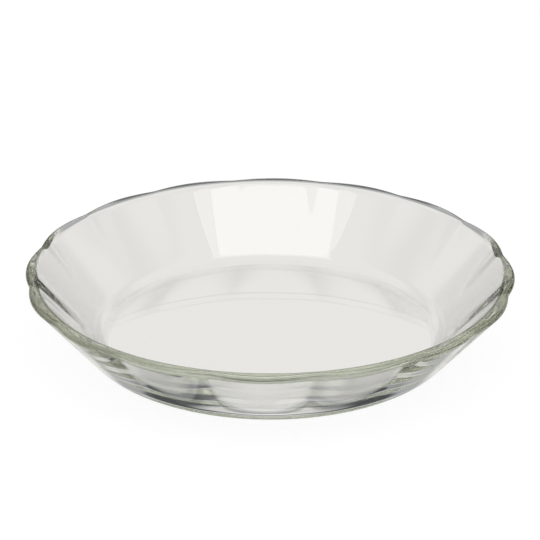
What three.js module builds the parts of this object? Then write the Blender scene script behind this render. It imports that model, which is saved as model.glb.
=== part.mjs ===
// Round gratin dish of clear heat-resistant glass, pressed in one piece: a flat floor, a sloping wall that is
// smooth inside and fluted outside, and a squared rim, scalloped by the flutes that deepen up to it.
// Millimetres, +Z up. The origin is the middle of the underside, and flutes have their crests on the X and Y
// axes.
import * as THREE from "three";

// Overall sizes
const RIM_DIAMETER = 220; // across two opposite crests
const BASE_DIAMETER = 153.2; // of the flat underside, where the heel starts
const HEIGHT = 35.2; // from the underside to the rim's flat top

// Thicknesses and fine forms of the glass
const FLOOR_THICKNESS = 4.6;
const WALL_FOOT_THICKNESS = 6.5; // of the wall at the floor, square to its outer face
const RIM_THICKNESS = 5.2; // across the rim's top at a crest, corners included
const RIM_EDGE_HEIGHT = 2.4; // of the rim's upright outer edge, corners included
const INNER_WALL_BOW = 0.1; // by which the middle of the wall's inner face is hollowed

// Rounded corners of the section
const HEEL_RADIUS = 11; // between underside and wall
const FLOOR_FILLET_RADIUS = 9; // inside, between floor and wall
const RIM_FOOT_RADIUS = 1; // between the wall's outer face and the rim's edge
const RIM_EDGE_RADIUS = 1.9; // between the rim's edge and its top
const RIM_LIP_RADIUS = 3.4; // between the rim's top and the wall's inner face

// Flutes round the outside of the wall
const FLUTE_COUNT = 16;
const FLUTE_DEPTH = 1.7; // crest to crease, at the rim
const FLUTE_FOOT_HEIGHT = 5; // above the underside, where the flutes have died out
const CREASE_RADIUS = 10; // of the soft crease between two flutes, at the rim

// Fineness of the facets
const STEPS_PER_FLUTE = 8;
const WALL_STEPS = 5;
const HEEL_STEPS = 4;
const RIM_CORNER_STEPS = 3;
const FILLET_STEPS = 5;

// The section, as radius against height. The wall's outer face runs from the heel's round to the rim's foot.
// Its inner face starts a rim's thickness inside the rim and ends a wall's thickness inside the outer face.
const rimRadius = RIM_DIAMETER / 2;
const heelMiddle = new THREE.Vector2(BASE_DIAMETER / 2, HEEL_RADIUS);
const rimFoot = new THREE.Vector2(rimRadius, HEIGHT - RIM_EDGE_HEIGHT);
const reach = rimFoot.clone().sub(heelMiddle);
const outerSlope = reach.angle() + Math.asin(HEEL_RADIUS / reach.length());
const outerRadiusAtFloor = rimRadius - (rimFoot.y - FLOOR_THICKNESS) / Math.tan(outerSlope);
const mouthRadius = rimRadius - RIM_THICKNESS;
const wellRadius = outerRadiusAtFloor - WALL_FOOT_THICKNESS / Math.sin(outerSlope);
const innerSlope = Math.atan2(HEIGHT - FLOOR_THICKNESS, mouthRadius - wellRadius);

// Ways to look in the section
const straightDown = -Math.PI / 2;
const straightOut = 0;
const straightUp = Math.PI / 2;
const outerFace = outerSlope - Math.PI / 2; // square to the wall's outer face
const innerFace = innerSlope + Math.PI / 2; // square to its inner face

// Evenly spaced points along a round stretch of the section
function arc(middle, radius, from, to, steps) {
  const curve = new THREE.EllipseCurve(middle.x, middle.y, radius, radius, from, to, to < from);
  return curve.getPoints(steps);
}

// Points along a stretch without its two ends, straight or bowed to its left
function between(start, end, steps, bow = 0) {
  const way = end.clone().sub(start).normalize();
  const left = new THREE.Vector2(-way.y, way.x);
  const points = new THREE.LineCurve(start, end).getPoints(steps);
  points.forEach((point, i) => point.addScaledVector(left, 4 * bow * (i / steps) * (1 - i / steps)));
  return points.slice(1, -1);
}

// The rim's outer corner fits its upright edge, and its lip fits the width that the flutes leave of its top
const footRise = RIM_FOOT_RADIUS * Math.tan(-outerFace / 2);
const innerTurn = Math.tan(innerSlope / 2);
const edgeRadius = Math.min(RIM_EDGE_RADIUS, RIM_EDGE_HEIGHT - footRise);
const lipRadius = Math.min(RIM_LIP_RADIUS, (RIM_THICKNESS - edgeRadius - FLUTE_DEPTH) / innerTurn);

// The stretch from the middle of the underside up to the outer end of the rim's top, which the flutes shape
function outsideOfSection() {
  const footMiddle = new THREE.Vector2(rimRadius - RIM_FOOT_RADIUS, rimFoot.y + footRise);
  const edgeMiddle = new THREE.Vector2(rimRadius - edgeRadius, HEIGHT - edgeRadius);
  const heel = arc(heelMiddle, HEEL_RADIUS, straightDown, outerFace, HEEL_STEPS);
  const foot = arc(footMiddle, RIM_FOOT_RADIUS, outerFace, straightOut, RIM_CORNER_STEPS);
  const edge = arc(edgeMiddle, edgeRadius, straightOut, straightUp, RIM_CORNER_STEPS);
  return [
    new THREE.Vector2(0, 0),
    ...heel,
    ...between(heel.at(-1), foot[0], WALL_STEPS),
    ...foot,
    ...edge,
  ];
}

// The stretch from the inner end of the rim's top down to the middle of the floor, which stays round
function insideOfSection() {
  const lipMiddle = new THREE.Vector2(mouthRadius + lipRadius * innerTurn, HEIGHT - lipRadius);
  const filletMiddle = new THREE.Vector2(
    wellRadius - FLOOR_FILLET_RADIUS * innerTurn,
    FLOOR_THICKNESS + FLOOR_FILLET_RADIUS,
  );
  const lip = arc(lipMiddle, lipRadius, straightUp, innerFace, RIM_CORNER_STEPS);
  const fillet = arc(filletMiddle, FLOOR_FILLET_RADIUS, innerFace - Math.PI, straightDown, FILLET_STEPS);
  return [
    ...lip,
    ...between(lip.at(-1), fillet[0], WALL_STEPS, INNER_WALL_BOW),
    ...fillet,
    new THREE.Vector2(0, FLOOR_THICKNESS),
  ];
}

// How far a flute stands out between its creases, from 1 on its crest to 0 in the crease. Each flute is an
// arch, and the crease between two of them is softened to its radius.
const creaseSoftness = (CREASE_RADIUS * FLUTE_DEPTH * FLUTE_COUNT ** 2) / RIM_DIAMETER ** 2;

function fluteArch(angle) {
  const arch = Math.cos((FLUTE_COUNT * angle) / 2);
  const crest = Math.hypot(1, creaseSoftness) - creaseSoftness;
  return (Math.hypot(arch, creaseSoftness) - creaseSoftness) / crest;
}

// The turned section, with its outside drawn in between the crests
function flutedDish() {
  const outside = outsideOfSection();
  const section = [...outside, ...insideOfSection()];
  const dish = new THREE.LatheGeometry(section, FLUTE_COUNT * STEPS_PER_FLUTE);
  dish.rotateX(Math.PI / 2);
  const points = dish.getAttribute("position");
  const point = new THREE.Vector3();
  for (let i = 0; i < points.count; i++) {
    const row = i % section.length;
    if (row === 0 || row >= outside.length) continue;
    point.fromBufferAttribute(points, i);
    const climbed = (point.z - FLUTE_FOOT_HEIGHT) / (rimFoot.y - FLUTE_FOOT_HEIGHT);
    const depth = FLUTE_DEPTH * THREE.MathUtils.clamp(climbed, 0, 1);
    const drawnIn = depth * (1 - fluteArch(Math.atan2(point.y, point.x)));
    const share = 1 - drawnIn / section[row].x;
    points.setXYZ(i, point.x * share, point.y * share, point.z);
  }
  dish.computeVertexNormals();
  return dish;
}

const clearGlass = new THREE.MeshStandardMaterial({
  color: 0xe4e7df,
  roughness: 0.03,
  metalness: 0,
  transparent: true,
  opacity: 0.35,
});

const glassDish = new THREE.Mesh(flutedDish(), clearGlass);
glassDish.name = "glass_dish";

const gratinDish = new THREE.Group();
gratinDish.add(glassDish);

export default gratinDish;
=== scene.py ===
import math

import bpy
from mathutils import Matrix, Vector


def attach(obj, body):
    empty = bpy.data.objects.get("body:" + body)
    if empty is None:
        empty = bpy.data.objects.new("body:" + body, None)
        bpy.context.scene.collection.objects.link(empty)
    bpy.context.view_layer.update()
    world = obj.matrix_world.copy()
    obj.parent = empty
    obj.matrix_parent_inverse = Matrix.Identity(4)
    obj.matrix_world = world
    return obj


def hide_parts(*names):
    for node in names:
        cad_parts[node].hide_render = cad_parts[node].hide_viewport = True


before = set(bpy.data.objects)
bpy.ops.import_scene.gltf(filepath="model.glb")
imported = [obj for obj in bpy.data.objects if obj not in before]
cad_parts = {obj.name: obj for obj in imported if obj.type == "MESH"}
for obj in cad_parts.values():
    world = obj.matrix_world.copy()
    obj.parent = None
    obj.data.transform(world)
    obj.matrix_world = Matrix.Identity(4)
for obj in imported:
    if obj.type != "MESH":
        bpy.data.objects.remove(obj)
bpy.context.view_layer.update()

# The dish: one piece of clear heat-resistant glass, pressed between a mould and a plunger and fire-polished.
# The plunger leaves the inside round and smooth. The mould gives the outside its sixteen flutes, which deepen
# up the wall and scallop the squared rim. Nothing is fixed to the dish, and it stands on its flat base.
RIM_DIAMETER = 0.2200
BASE_DIAMETER = 0.1532
DISH_HEIGHT = 0.0352
FLOOR_THICKNESS = 0.0046
WALL_FOOT_THICKNESS = 0.0065
RIM_THICKNESS = 0.0052
RIM_EDGE_HEIGHT = 0.0024
INNER_WALL_BOW = 0.0001
HEEL_RADIUS = 0.0110
FLOOR_FILLET_RADIUS = 0.0090
RIM_FOOT_RADIUS = 0.0010
RIM_EDGE_RADIUS = 0.0019
RIM_LIP_RADIUS = 0.0034
FLUTE_COUNT = 16
FLUTE_DEPTH = 0.0017
FLUTE_FOOT_HEIGHT = 0.0050
CREASE_RADIUS = 0.0100


class Flow:
    """A socket of a node tree. Arithmetic on it adds Math nodes, and put adds any other node."""

    def __init__(self, tree, socket=None):
        self.tree = tree
        self.socket = socket

    def put(self, kind, settings=None, sockets=None):
        """Adds a node, sets it up, fills its sockets with values or flows, and gives its outputs by name."""
        node = self.tree.nodes.new(kind)
        for name, value in (settings or {}).items():
            setattr(node, name, value)
        for name, value in (sockets or {}).items():
            open_sockets = [s for s in node.inputs if s.enabled and s.name == name]
            socket = open_sockets[0] if isinstance(name, str) else node.inputs[name]
            if isinstance(value, Flow):
                self.tree.links.new(value.socket, socket)
            else:
                socket.default_value = value
        return {s.name: Flow(self.tree, s) for s in node.outputs if s.enabled}

    def math(self, operation, *others):
        values = dict(enumerate((self, *others)))
        return self.put("ShaderNodeMath", {"operation": operation}, values)["Value"]

    def __add__(self, other):
        return self.math("ADD", other)

    def __sub__(self, other):
        return self.math("SUBTRACT", other)

    def __mul__(self, other):
        return self.math("MULTIPLY", other)

    def __truediv__(self, other):
        return self.math("DIVIDE", other)

    def __rsub__(self, other):
        return (self * -1) + other

    __radd__ = __add__


def arc(middle, radius, start, end, steps):
    """Points along a round stretch of the section, as radius and height."""
    turns = [start + (end - start) * i / steps for i in range(steps + 1)]
    return [(middle[0] + radius * math.cos(t), middle[1] + radius * math.sin(t)) for t in turns]


def stretch(start, end, steps, bow=0.0):
    """Points along a stretch of the section, both ends included, straight or bowed to its left."""
    run, rise = end[0] - start[0], end[1] - start[1]
    length = math.hypot(run, rise)
    points = []
    for i in range(steps + 1):
        share = i / steps
        out = 4 * bow * share * (1 - share) / length
        points.append((start[0] + run * share - rise * out, start[1] + rise * share + run * out))
    return points


# The section: the outer face runs from the heel to the rim's foot, the inner one a wall's thickness inside
STRAIGHT_DOWN = -math.pi / 2
STRAIGHT_OUT = 0.0
STRAIGHT_UP = math.pi / 2
rim_radius = RIM_DIAMETER / 2
rim_level = DISH_HEIGHT - RIM_EDGE_HEIGHT
heel_middle = (BASE_DIAMETER / 2, HEEL_RADIUS)
foot_run, foot_rise = rim_radius - heel_middle[0], rim_level - heel_middle[1]
outer_slope = math.atan2(foot_rise, foot_run) + math.asin(HEEL_RADIUS / math.hypot(foot_run, foot_rise))
outer_face = outer_slope + STRAIGHT_DOWN
outer_at_floor = rim_radius - (rim_level - FLOOR_THICKNESS) / math.tan(outer_slope)
well_radius = outer_at_floor - WALL_FOOT_THICKNESS / math.sin(outer_slope)
mouth_radius = rim_radius - RIM_THICKNESS
inner_slope = math.atan2(DISH_HEIGHT - FLOOR_THICKNESS, mouth_radius - well_radius)
inner_turn = math.tan(inner_slope / 2)
foot_middle = (rim_radius - RIM_FOOT_RADIUS, rim_level - RIM_FOOT_RADIUS * math.tan(outer_face / 2))
edge_middle = (rim_radius - RIM_EDGE_RADIUS, DISH_HEIGHT - RIM_EDGE_RADIUS)
lip_middle = (mouth_radius + RIM_LIP_RADIUS * inner_turn, DISH_HEIGHT - RIM_LIP_RADIUS)
fillet_middle = (well_radius - FLOOR_FILLET_RADIUS * inner_turn, FLOOR_THICKNESS + FLOOR_FILLET_RADIUS)

# Rings in each stretch, and the narrow flats that keep the shading of the broad ones level
HEEL_STEPS = 24
WALL_STEPS = 20
FOOT_STEPS = 8
EDGE_STEPS = 14
LIP_STEPS = 12
FILLET_STEPS = 20
FLAT_STEPS = 4
STEPS_PER_FLUTE = 40
FLAT_MARGIN = 0.0004
RIM_MARGIN = 0.00003
heel = arc(heel_middle, HEEL_RADIUS, STRAIGHT_DOWN, outer_face, HEEL_STEPS)
foot = arc(foot_middle, RIM_FOOT_RADIUS, outer_face, STRAIGHT_OUT, FOOT_STEPS)
edge = arc(edge_middle, RIM_EDGE_RADIUS, STRAIGHT_OUT, STRAIGHT_UP, EDGE_STEPS)
lip = arc(lip_middle, RIM_LIP_RADIUS, STRAIGHT_UP, inner_slope + STRAIGHT_UP, LIP_STEPS)
fillet = arc(fillet_middle, FLOOR_FILLET_RADIUS, inner_slope + STRAIGHT_DOWN, STRAIGHT_DOWN, FILLET_STEPS)
outside = [
    *stretch((0, 0), (heel[0][0] - FLAT_MARGIN, 0), FLAT_STEPS),
    *heel,
    *stretch(heel[-1], foot[0], WALL_STEPS)[1:-1],
    *foot,
    *edge,
    (edge[-1][0] - RIM_MARGIN, DISH_HEIGHT),
]
inside = [
    (lip[0][0] + RIM_MARGIN, DISH_HEIGHT),
    *lip,
    *stretch(lip[-1], fillet[0], WALL_STEPS, INNER_WALL_BOW)[1:-1],
    *fillet,
    *stretch((fillet[-1][0] - FLAT_MARGIN, FLOOR_THICKNESS), (0, FLOOR_THICKNESS), FLAT_STEPS),
]
section = outside + inside
section_mesh = bpy.data.meshes.new("dish_section")
section_mesh.from_pydata([(r, 0, z) for r, z in section], [(i, i + 1) for i in range(len(section) - 1)], [])
section_line = bpy.data.objects.new("dish_section", section_mesh)
bpy.context.scene.collection.objects.link(section_line)

# Glass: clear and glossy, with a faint olive body colour, a trace of haze and slow waves from pressing
GLASS_BEND = 1.47
OLIVE_BODY = (0.62, 0.68, 0.14, 1)
BODY_DENSITY = 1.7
WAVE_SCALE = 24.0
WAVE_DETAIL = 1.0
WAVE_HEIGHT = 0.00012
WAVE_STRENGTH = 0.25
HAZE_SCALE = 60.0
HAZE_DETAIL = 2.0
HAZE_MOST = 0.02
clear_glass = bpy.data.materials.new("clear_glass")
clear_glass.use_nodes = True
clear_glass.node_tree.nodes.clear()
glass = Flow(clear_glass.node_tree)
on_dish = glass.put("ShaderNodeTexCoord")["Object"]
waves = glass.put(
    "ShaderNodeTexNoise",
    None,
    {"Vector": on_dish, "Scale": WAVE_SCALE, "Detail": WAVE_DETAIL},
)["Fac"]
wavy = glass.put(
    "ShaderNodeBump",
    None,
    {"Strength": WAVE_STRENGTH, "Distance": WAVE_HEIGHT, "Height": waves},
)["Normal"]
haze = glass.put(
    "ShaderNodeTexNoise",
    None,
    {"Vector": on_dish, "Scale": HAZE_SCALE, "Detail": HAZE_DETAIL},
)["Fac"]
body = glass.put(
    "ShaderNodeBsdfPrincipled",
    None,
    {
        "Base Color": (1, 1, 1, 1),
        "Roughness": haze * HAZE_MOST,
        "IOR": GLASS_BEND,
        "Transmission Weight": 1.0,
        "Normal": wavy,
    },
)["BSDF"]
depth = glass.put(
    "ShaderNodeVolumeAbsorption",
    None,
    {"Color": OLIVE_BODY, "Density": BODY_DENSITY},
)["Volume"]
glass.put("ShaderNodeOutputMaterial", None, {"Surface": body, "Volume": depth})

# The rule of its shape: the section is turned round the axis, and its outer rings are drawn in between crests
JOIN_DISTANCE = 1e-6
turning = bpy.data.node_groups.new("fluted_dish", "GeometryNodeTree")
turning.is_modifier = True
named_inputs = {
    "Section": ("NodeSocketObject", section_line),
    "Steps Round": ("NodeSocketInt", FLUTE_COUNT * STEPS_PER_FLUTE),
    "Flutes": ("NodeSocketInt", FLUTE_COUNT),
    "Flute Depth": ("NodeSocketFloat", FLUTE_DEPTH),
    "Flute Foot": ("NodeSocketFloat", FLUTE_FOOT_HEIGHT),
    "Rim Level": ("NodeSocketFloat", rim_level),
    "Fluted Rings": ("NodeSocketInt", len(outside)),
    "Crease Softness": ("NodeSocketFloat", CREASE_RADIUS * FLUTE_DEPTH * FLUTE_COUNT**2 / RIM_DIAMETER**2),
    "Glass": ("NodeSocketMaterial", clear_glass),
}
identifiers = {
    name: turning.interface.new_socket(name, in_out="INPUT", socket_type=kind).identifier
    for name, (kind, _) in named_inputs.items()
}
turning.interface.new_socket("Dish", in_out="OUTPUT", socket_type="NodeSocketGeometry")
lathe = Flow(turning)
given = lathe.put("NodeGroupInput")
profile = lathe.put("GeometryNodeObjectInfo", None, {"Object": given["Section"]})["Geometry"]
rows = lathe.put(
    "GeometryNodeAttributeDomainSize",
    {"component": "MESH"},
    {"Geometry": profile},
)["Point Count"]
columns = given["Steps Round"] + 1
sheet = lathe.put("GeometryNodeMeshGrid", None, {"Vertices X": rows, "Vertices Y": columns})["Mesh"]
index = lathe.put("GeometryNodeInputIndex")["Index"]
row = (index / columns).math("FLOOR")
angle = index.math("MODULO", columns) * (2 * math.pi) / given["Steps Round"]
place = lathe.put("GeometryNodeInputPosition")["Position"]
ring = lathe.put(
    "GeometryNodeSampleIndex",
    {"data_type": "FLOAT_VECTOR", "domain": "POINT"},
    {"Geometry": profile, "Value": place, "Index": row},
)["Value"]
ring = lathe.put("ShaderNodeSeparateXYZ", None, {"Vector": ring})
soft = given["Crease Softness"]


def softened(height):
    """How high a flute's arch stands once its crease is rounded."""
    return (height * height + soft * soft).math("SQRT") - soft


arch = (angle * given["Flutes"] / 2).math("COSINE")
crest = (soft * soft + 1).math("SQRT") - soft
climbed = (ring["Z"] - given["Flute Foot"]) / (given["Rim Level"] - given["Flute Foot"])
climbed = climbed.math("MAXIMUM", 0).math("MINIMUM", 1) * row.math("LESS_THAN", given["Fluted Rings"])
radius = ring["X"] - given["Flute Depth"] * climbed * (1 - softened(arch) / crest)
spot = lathe.put(
    "ShaderNodeCombineXYZ",
    None,
    {"X": radius * angle.math("COSINE"), "Y": radius * angle.math("SINE"), "Z": ring["Z"]},
)["Vector"]
turned = lathe.put("GeometryNodeSetPosition", None, {"Geometry": sheet, "Position": spot})["Geometry"]
closed = lathe.put(
    "GeometryNodeMergeByDistance",
    None,
    {"Geometry": turned, "Distance": JOIN_DISTANCE},
)["Geometry"]
outward = lathe.put("GeometryNodeFlipFaces", None, {"Mesh": closed})["Mesh"]
smooth = lathe.put("GeometryNodeSetShadeSmooth", None, {"Geometry": outward})["Geometry"]
real = lathe.put("GeometryNodeRealizeInstances", None, {"Geometry": smooth})["Geometry"]
dressed = lathe.put(
    "GeometryNodeSetMaterial",
    None,
    {"Geometry": real, "Material": given["Glass"]},
)["Geometry"]
lathe.put("NodeGroupOutput", None, {"Dish": dressed})

blank = bpy.data.objects.new("dish_blank", bpy.data.meshes.new("dish_blank"))
bpy.context.scene.collection.objects.link(blank)
press = blank.modifiers.new("fluted_dish", "NODES")
press.node_group = turning
for name, (_, value) in named_inputs.items():
    press[identifiers[name]] = value
evaluated = blank.evaluated_get(bpy.context.evaluated_depsgraph_get())
dish = bpy.data.objects.new("glass_gratin_dish", bpy.data.meshes.new_from_object(evaluated))
bpy.context.scene.collection.objects.link(dish)
bpy.data.objects.remove(blank)
bpy.data.objects.remove(section_line)
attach(dish, "root")
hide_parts("glass_dish")

# The floor: a wide sheet of white paper that the dish stands on, a hair below its base.
# It keeps the dish's shadow. Rays in the glass pass it by and see the room of the next section instead.
FLOOR_SIZE = 8.0
FLOOR_GAP = 0.0003
PAPER_MATT = 0.12
PAPER_GLOW = 0.908
half = FLOOR_SIZE / 2
floor_mesh = bpy.data.meshes.new("floor")
corners = [(-half, -half), (half, -half), (half, half), (-half, half)]
floor_mesh.from_pydata([(x, y, -FLOOR_GAP) for x, y in corners], [], [(0, 1, 2, 3)])
floor = bpy.data.objects.new("floor", floor_mesh)
floor.visible_transmission = False
floor.visible_glossy = False
bpy.context.scene.collection.objects.link(floor)
white_paper = bpy.data.materials.new("white_paper")
white_paper.use_nodes = True
white_paper.node_tree.nodes.clear()
paper = Flow(white_paper.node_tree)
path = paper.put("ShaderNodeLightPath")
matt = paper.put("ShaderNodeBsdfDiffuse", None, {"Color": (PAPER_MATT, PAPER_MATT, PAPER_MATT, 1)})["BSDF"]
lift = path["Is Camera Ray"] * PAPER_GLOW
glow = paper.put("ShaderNodeEmission", None, {"Color": (1, 1, 1, 1), "Strength": lift})["Emission"]
both = paper.put("ShaderNodeAddShader", None, {0: matt, 1: glow})["Shader"]
paper.put("ShaderNodeOutputMaterial", None, {"Surface": both})
floor_mesh.materials.append(white_paper)

# The light: one wide softbox above and in front of the dish, in a room that lights matt things evenly.
# In the glass the room shows as round a photographer's table: white paper below and round the dish, brightest
# behind it and falling into shade there in two steps, a lit sweep and a pale ceiling above, and dim walls.
PLAIN_LEVEL = 0.75
ROOM_TONE = 0.07
BACK_PAPER_TONE = 0.81
SIDE_PAPER_TONE = 0.62
BACK_SECTOR = (0.78, 0.99)
PAPER_TOP = (-0.30, -0.16)
SHADE_FOOT = (-0.95, -0.90)
SHADE_TOP = (-0.79, -0.74)
HALF_SHADE_TOP = (-0.64, -0.56)
SHADE_SECTOR = (0.20, 0.45)
SWEEP_FOOT = (0.29, 0.37)
SWEEP_TOP = (0.47, 0.55)
CEILING_TONE = 0.65
CEILING_EDGE = (0.62, 0.72)
WARM_PAPER = (1.0, 0.985, 0.955, 1)
COOL_ROOM = (0.95, 1.0, 1.02, 1)
world = bpy.data.worlds.new("studio")
world.use_nodes = True
world.node_tree.nodes.clear()
studio = Flow(world.node_tree)


def past(value, limits):
    """Climbs from 0 to 1 as the value passes from the first limit to the second."""
    sockets = {"Value": value, "From Min": limits[0], "From Max": limits[1]}
    return studio.put("ShaderNodeMapRange", {"interpolation_type": "SMOOTHSTEP"}, sockets)["Result"]


heading = studio.put("ShaderNodeSeparateXYZ", None, {"Vector": studio.put("ShaderNodeTexCoord")["Generated"]})
rise = heading["Z"]
backward = heading["Y"] / (1 - rise * rise).math("SQRT")
full_shade = 1 - past(rise, SHADE_TOP)
half_shade = 1 - past(rise, HALF_SHADE_TOP)
shade = past(rise, SHADE_FOOT) * past(backward, SHADE_SECTOR) * (full_shade + half_shade) / 2
low_paper = (1 - past(rise, PAPER_TOP)) * (1 - shade)
sweep = past(rise, SWEEP_FOOT) * (1 - past(rise, SWEEP_TOP))
paper_share = low_paper + sweep
paper_tone = SIDE_PAPER_TONE + past(backward, BACK_SECTOR) * (BACK_PAPER_TONE - SIDE_PAPER_TONE)
room_in_glass = ROOM_TONE + paper_share * (paper_tone - ROOM_TONE) + past(rise, CEILING_EDGE) * CEILING_TONE
rays = studio.put("ShaderNodeLightPath")
in_glass = rays["Is Glossy Ray"].math("MAXIMUM", rays["Is Transmission Ray"])
level = in_glass * room_in_glass + (1 - in_glass) * PLAIN_LEVEL
level = level.math("MAXIMUM", rays["Is Camera Ray"])
tint_in_glass = studio.put(
    "ShaderNodeMix",
    {"data_type": "RGBA"},
    {"Factor": paper_share, "A": COOL_ROOM, "B": WARM_PAPER},
)["Result"]
tint = studio.put(
    "ShaderNodeMix",
    {"data_type": "RGBA"},
    {"Factor": in_glass, "A": (1, 1, 1, 1), "B": tint_in_glass},
)["Result"]
room = studio.put("ShaderNodeBackground", None, {"Color": tint, "Strength": level})["Background"]
studio.put("ShaderNodeOutputWorld", None, {"Surface": room})
bpy.context.scene.world = world
SOFTBOX_SIZE = (1.1, 0.42)
SOFTBOX_PLACE = (0.0, -0.55, 1.0)
SOFTBOX_RADIANCE = 2.0
softbox = bpy.data.lights.new("softbox", "AREA")
softbox.shape = "RECTANGLE"
softbox.size, softbox.size_y = SOFTBOX_SIZE
softbox.energy = SOFTBOX_RADIANCE * math.pi * SOFTBOX_SIZE[0] * SOFTBOX_SIZE[1]
lamp = bpy.data.objects.new("softbox", softbox)
lamp.location = SOFTBOX_PLACE
lamp.visible_camera = False
bpy.context.scene.collection.objects.link(lamp)

# The camera: a long lens a little over a metre away, looking down into the dish.
# Its place, aim and lens were fitted to the dish's outline in the photograph.
VIEW_AZIMUTH = math.radians(2.005)
VIEW_ELEVATION = math.radians(24.301)
VIEW_DISTANCE = 1.0791
VIEW_ROLL = math.radians(0.150)
LENS_MM = 159.58
SENSOR_MM = 36.0
PICTURE_SIDE = 540
AIM_HEIGHT = 0.0316
AIM_PIXEL = (269.846, 275.505)
NEAREST_SEEN = 0.01
aim = Vector((0, 0, AIM_HEIGHT))
away = Vector(
    (
        math.sin(VIEW_AZIMUTH) * math.cos(VIEW_ELEVATION),
        -math.cos(VIEW_AZIMUTH) * math.cos(VIEW_ELEVATION),
        math.sin(VIEW_ELEVATION),
    )
)
lens = bpy.data.cameras.new("camera")
lens.sensor_width = SENSOR_MM
lens.lens = LENS_MM
lens.shift_x = (PICTURE_SIDE / 2 - AIM_PIXEL[0]) / PICTURE_SIDE
lens.shift_y = (AIM_PIXEL[1] - PICTURE_SIDE / 2) / PICTURE_SIDE
lens.clip_start = NEAREST_SEEN
camera = bpy.data.objects.new("camera", lens)
upright = away.to_track_quat("Z", "Y").to_matrix().to_4x4()
place_of_camera = Matrix.Translation(aim + away * VIEW_DISTANCE)
camera.matrix_world = place_of_camera @ upright @ Matrix.Rotation(VIEW_ROLL, 4, "Z")
bpy.context.scene.collection.objects.link(camera)
bpy.context.scene.camera = camera
bpy.context.scene.view_settings.view_transform = "Standard"

# Glass needs many bounces, because light that enters its rim runs far through the wall before it leaves
GLASS_BOUNCES = 40
bpy.context.scene.cycles.max_bounces = GLASS_BOUNCES
bpy.context.scene.cycles.transmission_bounces = GLASS_BOUNCES
bpy.context.scene.cycles.glossy_bounces = GLASS_BOUNCES
